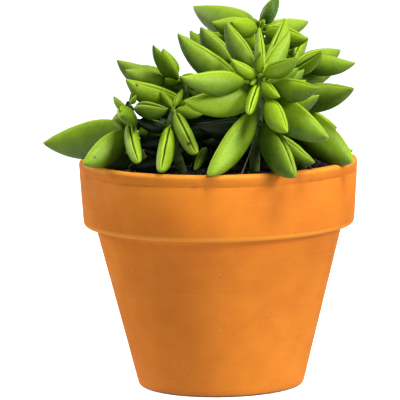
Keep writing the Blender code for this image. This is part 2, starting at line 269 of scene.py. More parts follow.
def clay_material(look):
    """Fired clay: clouded and grainy, with turning lines, specks, small pits, damp marks at the lip, a darker
    inner wall, painted highlights along the band's lower edge and the lip, and painted shade towards the
    foot.
    """
    graph = Graph("fired_clay")
    here = graph.place()
    x, y, z = graph.axes(here)
    cloud = graph.noise(here, 22, 4).step(0.3, 0.7)
    mottle = graph.noise(here, 120, 5, 0.65)
    turning = graph.noise(graph.place((1, 1, 30)), 28, 4, 0.6)
    grain = graph.noise(here, 1500, 2)
    colour = graph.mix(cloud, look.clay_dark, look.clay_light)
    colour = graph.mix(mottle.step(0.35, 0.75) * 0.35, colour, look.clay_red)
    colour = graph.mix(turning.step(0.5, 0.72) * 0.09, colour, look.clay_pale_and_highlight)
    lower_edge = look.height - look.band_height
    # Painted highlight: pale clay along the rounded lower edge of the band and round the lip, where light
    # catches.
    painted_edge_highlight = z.step(lower_edge + 2.4 * MM, lower_edge + 1.2 * MM)
    painted_edge_highlight = painted_edge_highlight * z.step(lower_edge - 0.3 * MM, lower_edge + 0.5 * MM)
    painted_edge_highlight = painted_edge_highlight + z.step(look.height - 1.8 * MM, look.height - 0.6 * MM) * 0.7
    colour = graph.mix(painted_edge_highlight * (0.35 + mottle * 0.4), colour, look.clay_pale_and_highlight)
    lip = z.step(POT_TOP.z - 9 * MM, POT_TOP.z - 1 * MM)
    damp = graph.noise(here, 55, 3).step(0.52, 0.68) * lip
    colour = graph.mix(damp * 0.45, colour, look.clay_stain_and_shade)
    ring = abs(z - (POT_TOP.z - look.ring_drop)).step(0.7 * MM, 0.1 * MM)
    colour = graph.mix(ring * graph.noise(here, 300).step(0.45, 0.65) * 0.3, colour, look.clay_stain_and_shade)
    # Darker on the inner wall, from the band's lower edge up towards the lip.
    across = graph.vector_math("LENGTH", graph.place((1, 1, 0)), output="Value")
    inside = across.step(look.rim_radius - 4.2 * MM, look.rim_radius - 5.0 * MM)
    above = z.step(lower_edge, lower_edge + 3 * MM)
    inner_wall_dark = inside * above * z.step(look.height, look.height - 4 * MM)
    colour = graph.mix(inner_wall_dark * 0.8, colour, look.dark_brown)
    # Painted shade: the clay darkens towards the foot, and a painted contact shadow, almost black, runs along
    # its lowest millimetre.
    colour = graph.mix(z.step(3.5 * MM, 0.5 * MM) * 0.35, colour, look.clay_stain_and_shade)
    colour = graph.mix(z.step(1.1 * MM, 0.3 * MM) * 0.9, colour, look.dark_brown)
    specks = graph.dots(here, 620, 0.16, 0.035)
    pits = graph.dots(graph.place((1.1, 0.9, 1.3)), 560, 0.19, 0.05)
    colour = graph.mix(specks * 0.55, colour, look.clay_speck)
    colour = graph.mix(pits * 0.7, colour, look.clay_pit)
    height = grain * 0.3 + mottle * 0.4 + turning * 0.5 - pits * 1.6 + specks * 0.4
    relief = graph.bump(height, 0.25 * MM, 0.55)
    graph.surface(Base_Color=colour, Roughness=0.62 + mottle * 0.3 - lip * 0.06, Normal=relief)
    graph.shader.inputs["Specular IOR Level"].default_value = 0.18
    return graph.material


def leaf_material(look, name="leaf_skin", scabs=()):
    """A leaf's skin: green by its tone, with painted light and shade (lighter at the top of its section,
    darker at its keel and base, almost black deep inside the plant), bright lips, painted shade in the
    groove, bloom, speckles and brown scabs.
    """
    graph = Graph(name)
    here = graph.place()
    tone, bloom = graph.attribute("tone"), graph.attribute("bloom")
    lip, groove, height = graph.attribute("lip"), graph.attribute("groove"), graph.attribute("height")
    drift = graph.noise(here, 90, 4, 0.6) - 0.5
    mottle = graph.noise(here, 1000, 4, 0.6)
    # Painted light and shade: each leaf lighter towards the top of its section and darker towards its keel,
    # on top of its tone and a random drift.
    shade = (tone + drift * 0.7 + (height - 0.45) * 0.75).step(-0.1, 1.0)
    colour = graph.mix(shade, look.leaf_deep, look.leaf_bright)
    colour = graph.mix(mottle.step(0.48, 0.72) * 0.3, colour, look.leaf_deep)
    veil = graph.noise(graph.place((1, 1, 0.6)), 160, 4).step(0.35, 0.75)
    colour = graph.mix(bloom * (veil * 0.5 + 0.2), colour, look.leaf_bloom)
    speckles = graph.dots(here, 1300, 0.36, 0.6)
    colour = graph.mix(speckles * (0.12 + tone * 0.2), colour, look.leaf_speckle)
    colour = graph.mix(lip * (0.45 + tone * 0.35), colour, look.leaf_lip)
    # Painted shade in the groove: the slit between the lips turns almost black.
    colour = graph.mix(groove.step(0.25, 0.8) * 0.92, colour, look.leaf_groove)
    # Painted shade: leaves whose tone falls below zero, deep inside the plant, turn almost black.
    colour = graph.mix(tone.step(0.0, -0.6), colour, look.leaf_shade)
    for point, radius in scabs:
        away = graph.distance(here, point) + (mottle - 0.5) * 0.6 * MM
        colour = graph.mix(away.step(radius * 1.5, radius * 0.8), colour, look.leaf_scab)
        colour = graph.mix(away.step(radius * 0.6, radius * 0.3), colour, look.leaf_scab_heart)
    relief = graph.bump(mottle * 0.6 + drift * 0.5 + speckles * 0.25, 0.2 * MM, 0.4)
    rough = 0.36 + bloom * 0.2 + mottle * 0.12 + groove * 0.25
    graph.surface(Base_Color=colour, Roughness=rough, Normal=relief)
    graph.surface(Subsurface_Weight=0.10, Subsurface_Scale=0.8 * MM, Subsurface_Radius=(0.6, 1.0, 0.1))
    graph.shader.inputs["Specular IOR Level"].default_value = 0.24
    return graph.material


def stem_material(look):
    """A green stem, clouded light and dark and streaked along its length."""
    graph = Graph("stem_skin")
    here = graph.place()
    streak = graph.noise(graph.place((1, 1, 0.15)), 900, 3)
    cloud = graph.noise(here, 120, 4)
    colour = graph.mix(cloud.step(0.3, 0.7), look.stem_dark, look.stem_light)
    colour = graph.mix(streak.step(0.5, 0.8) * 0.4, colour, look.stem_dark)
    relief = graph.bump(streak * 0.6 + cloud * 0.4, 0.2 * MM, 0.5)
    graph.surface(Base_Color=colour, Roughness=0.5 + streak * 0.2, Normal=relief)
    return graph.material


def soil_material(look, name="potting_soil", lift=0.0):
    """Dark crumbly soil, with a few paler grains."""
    graph = Graph(name)
    here = graph.place()
    crumb = graph.noise(here, 420, 6, 0.7)
    clod = graph.noise(here, 90, 4)
    colour = graph.mix(crumb.step(0.35, 0.75), look.dark_brown, look.soil_dry)
    colour = graph.mix(clod.step(0.5, 0.8) * 0.4 + lift, colour, look.soil_dry)
    colour = graph.mix(graph.dots(here, 500, 0.22, 0.06) * 0.6, colour, look.soil_grain)
    relief = graph.bump(crumb + clod * 0.5, 0.9 * MM, 0.9)
    graph.surface(Base_Color=colour, Roughness=0.85 + crumb * 0.12, Normal=relief)
    return graph.material


def hair_material(look):
    """Dry roots and stalks: streaked between two browns."""
    graph = Graph("root_hair")
    streak = graph.noise(graph.place(), 300, 4, 0.7)
    colour = graph.mix(streak.step(0.35, 0.7), look.hair_dark, look.hair_light)
    graph.surface(Base_Color=colour, Roughness=0.7 + streak * 0.2, Normal=graph.bump(streak, 0.2 * MM, 0.6))
    return graph.material


def floor_material(look):
    """A pale matt floor, faintly uneven."""
    graph = Graph("pale_floor")
    uneven = graph.noise(graph.place(), 3, 2)
    colour = graph.mix(uneven, look.floor_colour, (0.97, 0.97, 0.97))
    graph.surface(Base_Color=colour, Roughness=0.9 + uneven * 0.05)
    graph.surface(Emission_Color=(1.0, 1.0, 1.0, 1.0), Emission_Strength=look.floor_glow)
    return graph.material


# Shapes.


def make_piece(name, bm, material, stands_for=()):
    """A finished piece from a bmesh, riding on the plant's one body."""
    bm.normal_update()
    bmesh.ops.recalc_face_normals(bm, faces=bm.faces)
    mesh = bpy.data.meshes.new(name)
    bm.to_mesh(mesh)
    bm.free()
    mesh.materials.append(material)
    mesh.shade_smooth()
    piece = bpy.data.objects.new(name, mesh)
    bpy.context.scene.collection.objects.link(piece)
    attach(piece, "root")
    if stands_for:
        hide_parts(*stands_for)
    return piece


def corners(node):
    """A CAD node's corners, each once."""
    places = {tuple(round(value, 6) for value in vert.co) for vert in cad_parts[node].data.vertices}
    return [Vector(place) for place in sorted(places)]


def solid_tree(mesh):
    """A mesh's faces, to test for overlaps."""
    places = [vert.co for vert in mesh.vertices]
    return BVHTree.FromPolygons(places, [face.vertices for face in mesh.polygons])


def nearest_on(line, point):
    """The point of a line of points that is nearest to a point."""
    found = []
    for low, high in zip(line, line[1:]):
        run = high - low
        share = max(0.0, min(1.0, (point - low).dot(run) / run.length_squared))
        found.append(low + run * share)
    return min(found, key=lambda spot: (spot - point).length)


def stem_line(shoot):
    """A shoot's centre line and its foot's radius, from its CAD node's level rings."""
    rings = {}
    for point in corners(f"stem_{shoot}"):
        rings.setdefault(round(point.z, 4), []).append(point)
    line = [sum(ring, Vector()) / len(ring) for _, ring in sorted(rings.items())]
    foot = rings[min(rings)]
    return line, (foot[0] - line[0]).length


def smooth_line(points, steps):
    """Points on a smooth curve through points."""
    whole = [points[0] * 2 - points[1], *points, points[-1] * 2 - points[-2]]
    for before, low, high, after in zip(whole, whole[1:], whole[2:], whole[3:]):
        for step in range(steps):
            t = step / steps
            bend = (2 * before - 5 * low + 4 * high - after) * t * t
            yield (2 * low + (high - before) * t + bend + (3 * low - before - 3 * high + after) * t**3) / 2
    yield points[-1].copy()


def sweep(bm, points, radii, sides):
    """A closed tube through points: a disc extruded from each point to the next. Returns its vertices."""
    points = list(points)
    heading = (points[1] - points[0]).normalized()
    start = Matrix.Translation(points[0]) @ heading.to_track_quat("Z", "Y").to_matrix().to_4x4()
    made = bmesh.ops.create_circle(bm, cap_ends=True, segments=sides, radius=radii[0], matrix=start)["verts"]
    face = made[0].link_faces[0]
    tube = list(made)
    for i, point in enumerate(points[1:], 1):
        grown = bmesh.ops.extrude_face_region(bm, geom=[face])["geom"]
        if i > 1 and face.is_valid:
            bm.faces.remove(face)
        ring = [part for part in grown if isinstance(part, bmesh.types.BMVert)]
        face = next(part for part in grown if isinstance(part, bmesh.types.BMFace))
        ahead = points[min(i + 1, len(points) - 1)] - points[i - 1]
        turn = heading.rotation_difference(ahead.normalized()).to_matrix().to_4x4()
        size = Matrix.Scale(radii[i] / radii[i - 1], 4)
        move = Matrix.Translation(point) @ turn @ size @ Matrix.Translation(-points[i - 1])
        bmesh.ops.transform(bm, matrix=move, verts=ring)
        heading = ahead.normalized()
        tube += ring
    return tube


def arch(t, powers):
    """A curve over 0 to 1 that is 0 at both ends and 1 at its peak, from its powers towards 0 and 1."""
    rise, fall = powers
    peak = rise / (rise + fall)
    t = max(0.0, min(1.0, t))
    return (t / peak) ** rise * ((1 - t) / (1 - peak)) ** fall


def leaf_form(name, line):
    """A leaf's size and place, from its CAD node's long axis and flat plane."""
    points = corners(name)
    pairs = ((first, second) for first in points for second in points)
    base, tip = max(pairs, key=lambda pair: (pair[0] - pair[1]).length_squared)
    if (nearest_on(line, base) - base).length > (nearest_on(line, tip) - tip).length:
        base, tip = tip, base
    along = (tip - base).normalized()
    first = along.orthogonal().normalized()
    second = along.cross(first)
    flat = [((point - base).dot(first), (point - base).dot(second)) for point in points]
    lean = math.atan2(2 * sum(a * b for a, b in flat), sum(a * a - b * b for a, b in flat)) / 2
    up = first * math.cos(lean) + second * math.sin(lean)
    heights = [(point - base).dot(up) for point in points]
    if max(heights) > -min(heights):
        up.negate()
    side = up.cross(along)
    thickness = 2 * max(abs((point - base).dot(side)) for point in points)
    turn = Matrix((along, side, up)).transposed()
    reaches = [i * 0.25 * MM for i in range(1, 50)]
    reach = min(reaches, key=lambda far: (nearest_on(line, base - along * far) - base + along * far).length)
    depth = max(heights) - min(heights)
    return LeafForm(base, turn, (tip - base).length, depth, thickness, reach)


def drawn_form(line, foot_radius, row):
    """A young leaf's size and place, from its row of height, azimuth, elevation, roll, length and depth."""
    height, azimuth, elevation, roll, length, depth = row
    azimuth, elevation, roll = (math.radians(angle) for angle in (azimuth, elevation, roll))
    top = POT_TOP.z + height * MM
    low, high = next((pair for pair in zip(line, line[1:]) if pair[1].z >= top), line[-2:])
    start = low.lerp(high, min(1.0, (top - low.z) / (high.z - low.z)))
    turn = Matrix.Rotation(azimuth - math.pi / 2, 3, "Z") @ Matrix.Rotation(-elevation, 3, "Y")
    turn = turn @ Matrix.Rotation(roll, 3, "X")
    reach = foot_radius * 0.6
    base = start + turn @ Vector((reach, 0, 0))
    thickness = (YOUNG_THICKNESS + YOUNG_THICKNESS_SHARE * length) * MM
    return LeafForm(base, turn, length * MM, depth * MM, thickness, reach)


def groove_lean(turn, look):
    """The angle by which a leaf's groove leans from the top of its section, towards the front."""
    side, up = turn.col[1], turn.col[2]
    return -look.lean * max(-1.0, min(1.0, side.y * 1.5)) * max(0.0, min(1.0, 1 + 1.4 * up.y))


def waver(point):
    """Smooth noise in each of three directions."""
    return Vector(noise.noise(point + Vector(shift)) for shift in WAVER_SHIFTS)


def fold_leaf(bm, form, look, rings, sides, seed):
    """Adds a folded leaf: a sphere's rings moved onto its petiole and blade, dense beside the groove."""
    layers = {key: bm.verts.layers.float.get(key) for key in LEAF_LAYERS}
    verts = bmesh.ops.create_uvsphere(bm, u_segments=sides, v_segments=rings, radius=1)["verts"]
    chance = random.Random(seed)
    bow, beak = chance.uniform(-0.035, 0.035), chance.uniform(0.0, 0.03)
    lean = groove_lean(form.turn, look)
    blunt = max(0.0, min(1.0, (-form.turn.col[0].z - BLUNT_FROM) / BLUNT_OVER))
    top_arch, keel_arch, cheek_arch = (
        (near, sharp + (round_off - sharp) * blunt)
        for near, sharp, round_off in (TOP_ARCH, KEEL_ARCH, CHEEK_ARCH)
    )
    slit, dip = SLIT_WIDTH * look.groove, VALLEY_WIDTH * look.groove**0.5
    depth = look.deep * form.depth
    for vert in verts:
        latitude = math.acos(max(-1.0, min(1.0, vert.co.z))) / math.pi
        t = (latitude + (1 - math.cos(math.pi * latitude)) / 2) / 2
        turn = round(math.atan2(vert.co.y, vert.co.x) / math.tau * sides) % sides
        s = turn / (sides / 2) if turn <= sides / 2 else turn / (sides / 2) - 2
        if t < NECK_SHARE:
            x = -form.reach * (1 - t / NECK_SHARE)
        else:
            x = form.length * (t - NECK_SHARE) / (1 - NECK_SHARE)
        share = max(0.0, x / form.length)
        blade = max(0.0, share - PETIOLE_SHARE) / (1 - PETIOLE_SHARE)
        end = min(1.0, (x + form.reach) / (0.8 * MM)) ** 0.5
        neck = PETIOLE_SHARE * form.length * (1 - share) * end
        top = math.hypot(depth * UPPER_SHARE * arch(blade, top_arch), neck)
        bottom = math.hypot(depth * (1 - UPPER_SHARE) * arch(blade, keel_arch), neck)
        cheek = math.hypot(look.fat * form.thickness / 2 * arch(blade, cheek_arch), neck)
        angle = math.copysign(math.pi * abs(s) ** 1.5, s) + lean * (1 - s * s)
        away = angle - lean
        rise = (1 + math.cos(angle)) / 2
        open_here = arch(blade, GROOVE_ARCH)
        groove = math.exp(-((away / slit) ** 2))
        valley = math.exp(-((away / dip) ** 2))
        lip = math.exp(-(((abs(away) - LIP_PLACE * slit) / slit) ** 2))
        z = rise * (top + bottom) - bottom
        sink = SLIT_SINK * groove + VALLEY_SINK * valley - LIP_RISE * lip
        sink = open_here * sink * min(depth, SINK_DEPTH)
        sink = min(sink, 0.8 * (top + bottom) * open_here)
        y = math.sin(angle) * (abs(math.sin(angle)) ** 0.2 if rise < 0.5 else 1.0) * cheek
        y, z = y - sink * math.sin(lean), z - sink * math.cos(lean)
        y += bow * form.length * 4 * share * (1 - share)
        z += beak * form.length * max(0.0, share - 0.7) ** 2 * 10
        spot = form.base + form.turn @ Vector((x, y, z))
        rough = waver(spot * WAVE[0] + Vector((seed, 0, 0))) * WAVE[1]
        rough += waver(spot * GRAIN[0]) * GRAIN[1]
        vert.co = spot + rough * form.thickness
        marks = {
            # Painted shade: the tone drops towards the petiole, darkening the leaf's base.
            "tone": look.tone - 0.3 * (1 - share) ** 2,
            "bloom": look.bloom,
            "lip": lip * min(1.0, open_here * 1.4),
            "groove": groove * min(1.0, open_here * 1.4),
            # Painted light: 1 at the top of the section and 0 at the keel, for the skin's lighter top.
            "height": rise,
        }
        for key, value in marks.items():
            vert[layers[key]] = value
    return verts


def leaf_bmesh():
    """An empty bmesh with the layers that a leaf's skin reads."""
    bm = bmesh.new()
    for key in LEAF_LAYERS:
        bm.verts.layers.float.new(key)
    return bm


def fillet(corner, before, after, radius, steps=6):
    """Points that round a profile's corner between its two neighbours."""
    corner, before, after = Vector(corner), Vector(before), Vector(after)
    start = corner + (before - corner).normalized() * radius
    end = corner + (after - corner).normalized() * radius
    for step in range(steps + 1):
        t = step / steps
        yield tuple(start * (1 - t) ** 2 + corner * 2 * t * (1 - t) + end * t**2)


def turned(profile, steps):
    """A closed bmesh turned about Z from (radius, height) points, with a line that may start on the axis."""
    bm = bmesh.new()
    points = [bm.verts.new((radius, 0, height)) for radius, height in profile]
    pairs = list(zip(points, points[1:]))
    if profile[0][0] > 0:
        pairs.append((points[-1], points[0]))
    edges = [bm.edges.new(pair) for pair in pairs]
    bmesh.ops.spin(
        bm, geom=points + edges, cent=(0, 0, 0), axis=(0, 0, 1), angle=math.tau, steps=steps, use_merge=True
    )
    bmesh.ops.remove_doubles(bm, verts=bm.verts, dist=0.005 * MM)
    return bm


# What a user would change.


def tint(name, default, description):
    """A colour that a user can change."""
    said = {"name": name, "description": description, "default": default}
    return FloatVectorProperty(**said, subtype="COLOR", size=3, min=0, max=1)


def span(name, default, description):
    """A length that a user can change."""
    said = {"name": name, "description": description, "default": default}
    return FloatProperty(**said, subtype="DISTANCE", unit="LENGTH", min=0)


def power(name, default, description):
    """A lamp's power that a user can change."""
    return FloatProperty(name=name, description=description, default=default, unit="POWER", min=0)


class PeperomiaPot(bpy.types.PropertyGroup):
    """Sizes and colours of the clay pot."""

    rim_radius: span("Rim radius", POT_TOP.x, "Outside radius at the lip")
    height: span("Height", POT_TOP.z, "Height from the foot to the lip")
    band_height: span("Band height", 26 * MM, "Height of the rim band")
    band_taper: span("Band taper", 1.6 * MM, "How much the band narrows towards its lower edge")
    band_ledge: span("Band ledge", 4.6 * MM, "How far the band stands out from the body")
    foot_radius: span("Foot radius", 32.5 * MM, "Outside radius at the foot")
    wall: span("Wall", 4.6 * MM, "Thickness of the wall")
    floor: span("Floor", 6 * MM, "Thickness of the floor")
    drain_radius: span("Drain radius", 6 * MM, "Radius of the drain hole")
    edge_round: span("Edge rounding", 2.0 * MM, "Rounding of the lip and the band's lower edge")
    ring_drop: span("Ring drop", 4.6 * MM, "How far the fine turned line lies below the lip")
    clay_light: tint("Clay, light", (0.76, 0.235, 0.016), "Lighter clay")
    clay_dark: tint("Clay, dark", (0.64, 0.178, 0.012), "Darker clay")
    clay_red: tint("Clay, red", (0.60, 0.145, 0.014), "Redder clay in the mottling")
    # Paler clay for the turning lines, and also the colour of the painted highlight along the band's lower
    # edge and the lip.
    clay_pale_and_highlight: tint("Clay, pale", (0.90, 0.38, 0.045), "Paler clay in the turning lines")
    # Real damp stains and the dark turned line, and also the painted shade towards the foot.
    clay_stain_and_shade: tint("Clay, damp", (0.34, 0.10, 0.022), "Clay where it is damp or stained")
    clay_speck: tint("Specks", (0.90, 0.62, 0.34), "Pale grains in the clay")
    clay_pit: tint("Pits", (0.22, 0.07, 0.02), "Small pits in the clay")
    # Darkens the pot's inner wall above the soil, and is the painted contact shadow along the foot.
    dark_brown: tint("Soil stain", (0.05, 0.03, 0.018), "Soil left on the inside of the lip")


class PeperomiaSoil(bpy.types.PropertyGroup):
    """Colours of the soil and what lies on it."""

    below_lip: span("Below the lip", 5 * MM, "How far the soil's edge lies below the lip")
    mound: span("Mound", 1.5 * MM, "How far the middle rises")
    grains: IntProperty(name="Grains", description="Number of loose crumbs on the soil", min=0, default=900)
    hairs: IntProperty(name="Root hairs", description="Number of fine fibres on the soil", min=0, default=60)
    dark_brown: tint("Soil, dark", (0.005, 0.0035, 0.0025), "Moist soil")
    soil_dry: tint("Soil, light", (0.018, 0.012, 0.008), "Drier soil")
    soil_grain: tint("Grains", (0.10, 0.075, 0.05), "Pale grains in the soil")
    hair_light: tint("Root hairs, light", (0.50, 0.42, 0.32), "Fine roots and fibres")
    hair_dark: tint("Root hairs, dark", (0.16, 0.11, 0.07), "Fine roots and fibres in shade")


class PeperomiaLeaves(bpy.types.PropertyGroup):
    """Colours of the leaves and stems."""

    leaf_bright: tint("Leaf, bright", (0.265, 0.440, 0.007), "The brightest leaves")
    leaf_deep: tint("Leaf, deep", (0.012, 0.060, 0.001), "The darkest leaves")
    # Painted shade for leaves deep inside the plant.
    leaf_shade: tint("Leaf, in shade", (0.004, 0.016, 0.001), "Old leaves deep inside the plant")
    leaf_lip: tint("Lips", (0.460, 0.620, 0.035), "The edges beside the groove")
    # Painted shade in the groove between the lips.
    leaf_groove: tint("Groove", (0.008, 0.035, 0.003), "The groove between the lips")
    leaf_bloom: tint("Bloom", (0.280, 0.410, 0.045), "The pale dusting")
    leaf_speckle: tint("Speckles", (0.420, 0.560, 0.060), "Fine pale dots in the skin")
    leaf_scab: tint("Scab", (0.14, 0.085, 0.02), "Corky edge of a spot")
    leaf_scab_heart: tint("Scab's heart", (0.02, 0.010, 0.005), "Middle of a spot")
    stem_light: tint("Stem, light", (0.14, 0.22, 0.04), "Stems where they are light")
    stem_dark: tint("Stem, dark", (0.035, 0.075, 0.010), "Stems where they are dark")
    rear_leaves: IntProperty(
        name="Rear leaves", description="Most leaves tried on each shoot's far side", min=0, default=34
    )


class PeperomiaStage(bpy.types.PropertyGroup):
    """The floor, the lights and the camera."""

    floor_radius: span("Floor radius", 4.0, "Radius of the floor")
    floor_colour: tint("Floor", (0.92, 0.92, 0.92), "The floor's colour")
    floor_glow: FloatProperty(
        name="Floor glow", description="Light given off by the floor", min=0, default=0.9
    )
    key_power: power("Key light", 17.0, "Power from the right")
    top_power: power("Top light", 13.5, "Power from above")
    fill_power: power("Fill light", 2.6, "Power from the left")
    edge_power: power("Edge light", 6.0, "Power from behind")
    bounce_power: power("Bounce light", 1.2, "Power off the floor")
    sky: FloatProperty(name="Surroundings", description="Light from all around", min=0, default=0.05)
    camera_distance: span("Camera distance", 1.5, "From the pot's axis to the camera")
    camera_height: span("Camera height", 0.2798, "From the floor to the camera")
    lens: FloatProperty(name="Lens", description="Focal length in mm", min=1, default=345.57)


# The pieces.


class PEPEROMIA_OT_pot(bpy.types.Operator):
    """Turn the clay pot"""

    bl_idname = "peperomia.pot"
    bl_label = "Pot"

    def profile(self, pot):
        """The wall in section, from the drain hole out round the foot, band and lip, then down the inside."""
        band_bottom = pot.height - pot.band_height
        ledge_radius = pot.rim_radius - pot.band_taper
        neck_radius = ledge_radius - pot.band_ledge
        foot, neck = (pot.foot_radius, 0), (neck_radius, band_bottom)
        ledge, lip = (ledge_radius, band_bottom), (pot.rim_radius, pot.height)
        inside, below = (pot.rim_radius - pot.wall, pot.height), (pot.rim_radius - pot.wall, band_bottom)
        drain, slope = (pot.drain_radius, 0), (neck_radius - pot.foot_radius) / band_bottom
        yield from fillet(drain, (pot.drain_radius, pot.floor), foot, 0.8 * MM)
        yield from fillet(foot, drain, neck, 1.6 * MM)
        yield from fillet(neck, foot, ledge, 2.4 * MM)
        yield from fillet(ledge, neck, lip, pot.edge_round)
        ring_height = pot.height - pot.ring_drop
        ring_radius = pot.rim_radius - pot.band_taper * pot.ring_drop / pot.band_height
        for step in range(-3, 4):
            dip = 0.22 * MM * math.cos(step / 3 * math.pi / 2)
            yield ring_radius - dip, ring_height + step * 0.2 * MM
        yield from fillet(lip, ledge, inside, pot.edge_round)
        yield from fillet(inside, lip, below, pot.edge_round)
        yield neck_radius - pot.wall, band_bottom
        yield pot.foot_radius + slope * pot.floor - pot.wall, pot.floor
        yield pot.drain_radius, pot.floor

    def execute(self, context):
        pot = context.scene.peperomia_pot
        bm = turned(list(self.profile(pot)), 192)
        for vert in bm.verts:
            out = Vector((vert.co.x, vert.co.y, 0)).normalized()
            vert.co += out * noise.noise(Vector((vert.co.x * 12, vert.co.y * 12, vert.co.z * 90))) * 0.12 * MM
        piece = make_piece("clay_pot", bm, clay_material(pot), ["pot"])
        piece.data.set_sharp_from_angle(angle=math.radians(60))
        return {"FINISHED"}


class PEPEROMIA_OT_soil(bpy.types.Operator):
    """Fill the pot with soil"""

    bl_idname = "peperomia.soil"
    bl_label = "Soil"

    def execute(self, context):
        pot, soil = context.scene.peperomia_pot, context.scene.peperomia_soil
        edge_height = pot.height - soil.below_lip
        band_bottom = pot.height - pot.band_height
        neck = pot.rim_radius - pot.band_taper - pot.band_ledge - pot.wall
        edge = pot.rim_radius - pot.wall - 0.2 * MM
        rings = [edge * i / 60 for i in range(60, 0, -1)]
        profile = [(0, pot.floor), (pot.foot_radius - pot.wall, pot.floor), (neck, band_bottom)]
        profile += [(radius, edge_height + self.mound(soil, radius / edge)) for radius in rings]
        bm = turned([*profile, (0, edge_height + soil.mound)], 160)
        for vert in bm.verts:
            if vert.co.z > edge_height - 1 * MM:
                clods = noise.fractal(vert.co * 160, 0.7, 2.1, 5) * 1.3 * MM
                vert.co.z += clods * min(1.0, (edge - vert.co.xy.length) / (4 * MM) + 0.3)
        make_piece("soil_bed", bm, soil_material(soil), ["soil"])
        self.crumbs(soil, edge, edge_height)
        return {"FINISHED"}

    def mound(self, soil, share):
        return soil.mound * math.cos(math.pi / 2 * share)

    def crumbs(self, soil, edge, edge_height):
        """Loose crumbs of soil, each a jittered ball."""
        chance = random.Random(4)
        bm = bmesh.new()
        for _ in range(soil.grains):
            far, angle = edge * chance.random() ** 0.5 * 0.99, chance.uniform(0, math.tau)
            size = chance.uniform(0.4, 1.7) * MM
            height = edge_height + self.mound(soil, far / edge)
            place = Vector((far * math.cos(angle), far * math.sin(angle), height))
            ball = bmesh.ops.create_icosphere(bm, subdivisions=1, radius=size)["verts"]
            for vert in ball:
                vert.co *= chance.uniform(0.7, 1.2)
            squash = Matrix.Diagonal((chance.uniform(0.7, 1.4), 1.0, chance.uniform(0.6, 1.0), 1.0))
            turn = Matrix.Rotation(chance.uniform(0, math.tau), 4, "Z")
            move = Matrix.Translation(place + Vector((0, 0, size * 0.3)))
            bmesh.ops.transform(bm, matrix=move @ turn @ squash, verts=ball)
        make_piece("soil_crumbs", bm, soil_material(soil, "soil_crumb", 0.15))


class PEPEROMIA_OT_stems(bpy.types.Operator):
    """Grow the shoots' stems along their lines"""

    bl_idname = "peperomia.stems"
    bl_label = "Stems"

    def execute(self, context):
        skin = stem_material(context.scene.peperomia_leaves)
        for shoot in SHOOTS:
            line, foot_radius = stem_line(shoot)
            points = list(smooth_line(line, 22))
            points = [points[0] - Vector((0, 0, 2 * MM)), *points]
            radii = []
            for i, point in enumerate(points):
                joint = math.exp(-(((point.z / (8 * MM)) % 1.0 - 0.5) ** 2) / 0.006)
                radii.append(foot_radius * (1.0 - 0.4 * i / (len(points) - 1) + 0.12 * joint))
            bm = bmesh.new()
            sweep(bm, points, radii, 14)
            make_piece(f"shoot_{shoot}", bm, skin, [f"stem_{shoot}"])
        return {"FINISHED"}


class PEPEROMIA_OT_leaves(bpy.types.Operator):
    """Fold the leaves that the frame places"""

    bl_idname = "peperomia.leaves"
    bl_label = "Leaves"

    # Corky spots: leaf, share of its length, side share from groove to keel, radius in mm.
    SCABS = {
        "left_01": ((0.88, 0.42, 0.55),),
        "mid_02": ((0.80, 0.16, 0.75),),
        "low_04": ((0.86, 0.16, 0.7),),
        "low_01": ((0.82, 0.55, 0.45),),
    }

    def look_of(self, key, form):
        shoot, number = key.split("_")
        row = dict(enumerate(LEAF_LOOKS.get(shoot, ()), 1)).get(int(number))
        if row:
            return LeafLook(*row)
        age = min(1.0, form.length / (30 * MM))
        return LeafLook(0.75 - 0.42 * age, 0.15 + 0.2 * age, 1.0)

    def scabs_of(self, key, form, bm):
        """Where a leaf's spots lie, on the side that faces the front."""
        spots = []
        for share, drop, radius in self.SCABS.get(key, ()):
            angle = math.pi * drop * (-1 if form.turn.col[1].y > 0 else 1)
            height = form.depth * (math.cos(angle) / 2 + 0.08) * 0.6
            guess = Vector((form.length * share, form.thickness / 2 * math.sin(angle), height))
            guess = form.base + form.turn @ guess
            found = min((vert.co for vert in bm.verts), key=lambda place: (place - guess).length)
            spots.append((found.copy(), radius * MM))
        return spots

    def execute(self, context):
        leaves = context.scene.peperomia_leaves
        skin = leaf_material(leaves)
        lines = {shoot: stem_line(shoot)[0] for shoot in SHOOTS}
        names = sorted(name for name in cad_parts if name.startswith("leaf_"))
        for seed, name in enumerate(names):
            key = name[len("leaf_"):]
            form = leaf_form(name, lines[key.split("_")[0]])
            bm = leaf_bmesh()
            fold_leaf(bm, form, self.look_of(key, form), 40, 44, seed)
            spots = self.scabs_of(key, form, bm)
            own = leaf_material(leaves, f"leaf_skin_{key}", spots) if spots else skin
            make_piece(f"blade_{key}", bm, own, [name])
        return {"FINISHED"}


class PEPEROMIA_OT_young_leaves(bpy.types.Operator):
    """Add the buds and the young leaves at the shoots' tips"""

    bl_idname = "peperomia.young_leaves"
    bl_label = "Young leaves"

    def execute(self, context):
        skin = leaf_material(context.scene.peperomia_leaves, "leaf_skin_young")
        for shoot, rows in YOUNG_LEAVES.items():
            line, foot_radius = stem_line(shoot)
            bm = leaf_bmesh()
            for seed, row in enumerate(rows):
                form = drawn_form(line, foot_radius, row)
                age = min(1.0, form.length / (24 * MM))
                fold_leaf(bm, form, LeafLook(0.85 - 0.45 * age, 0.1 + 0.2 * age, 1.1), 24, 28, 200 + seed)
            make_piece(f"young_{shoot}", bm, skin)
        return {"FINISHED"}


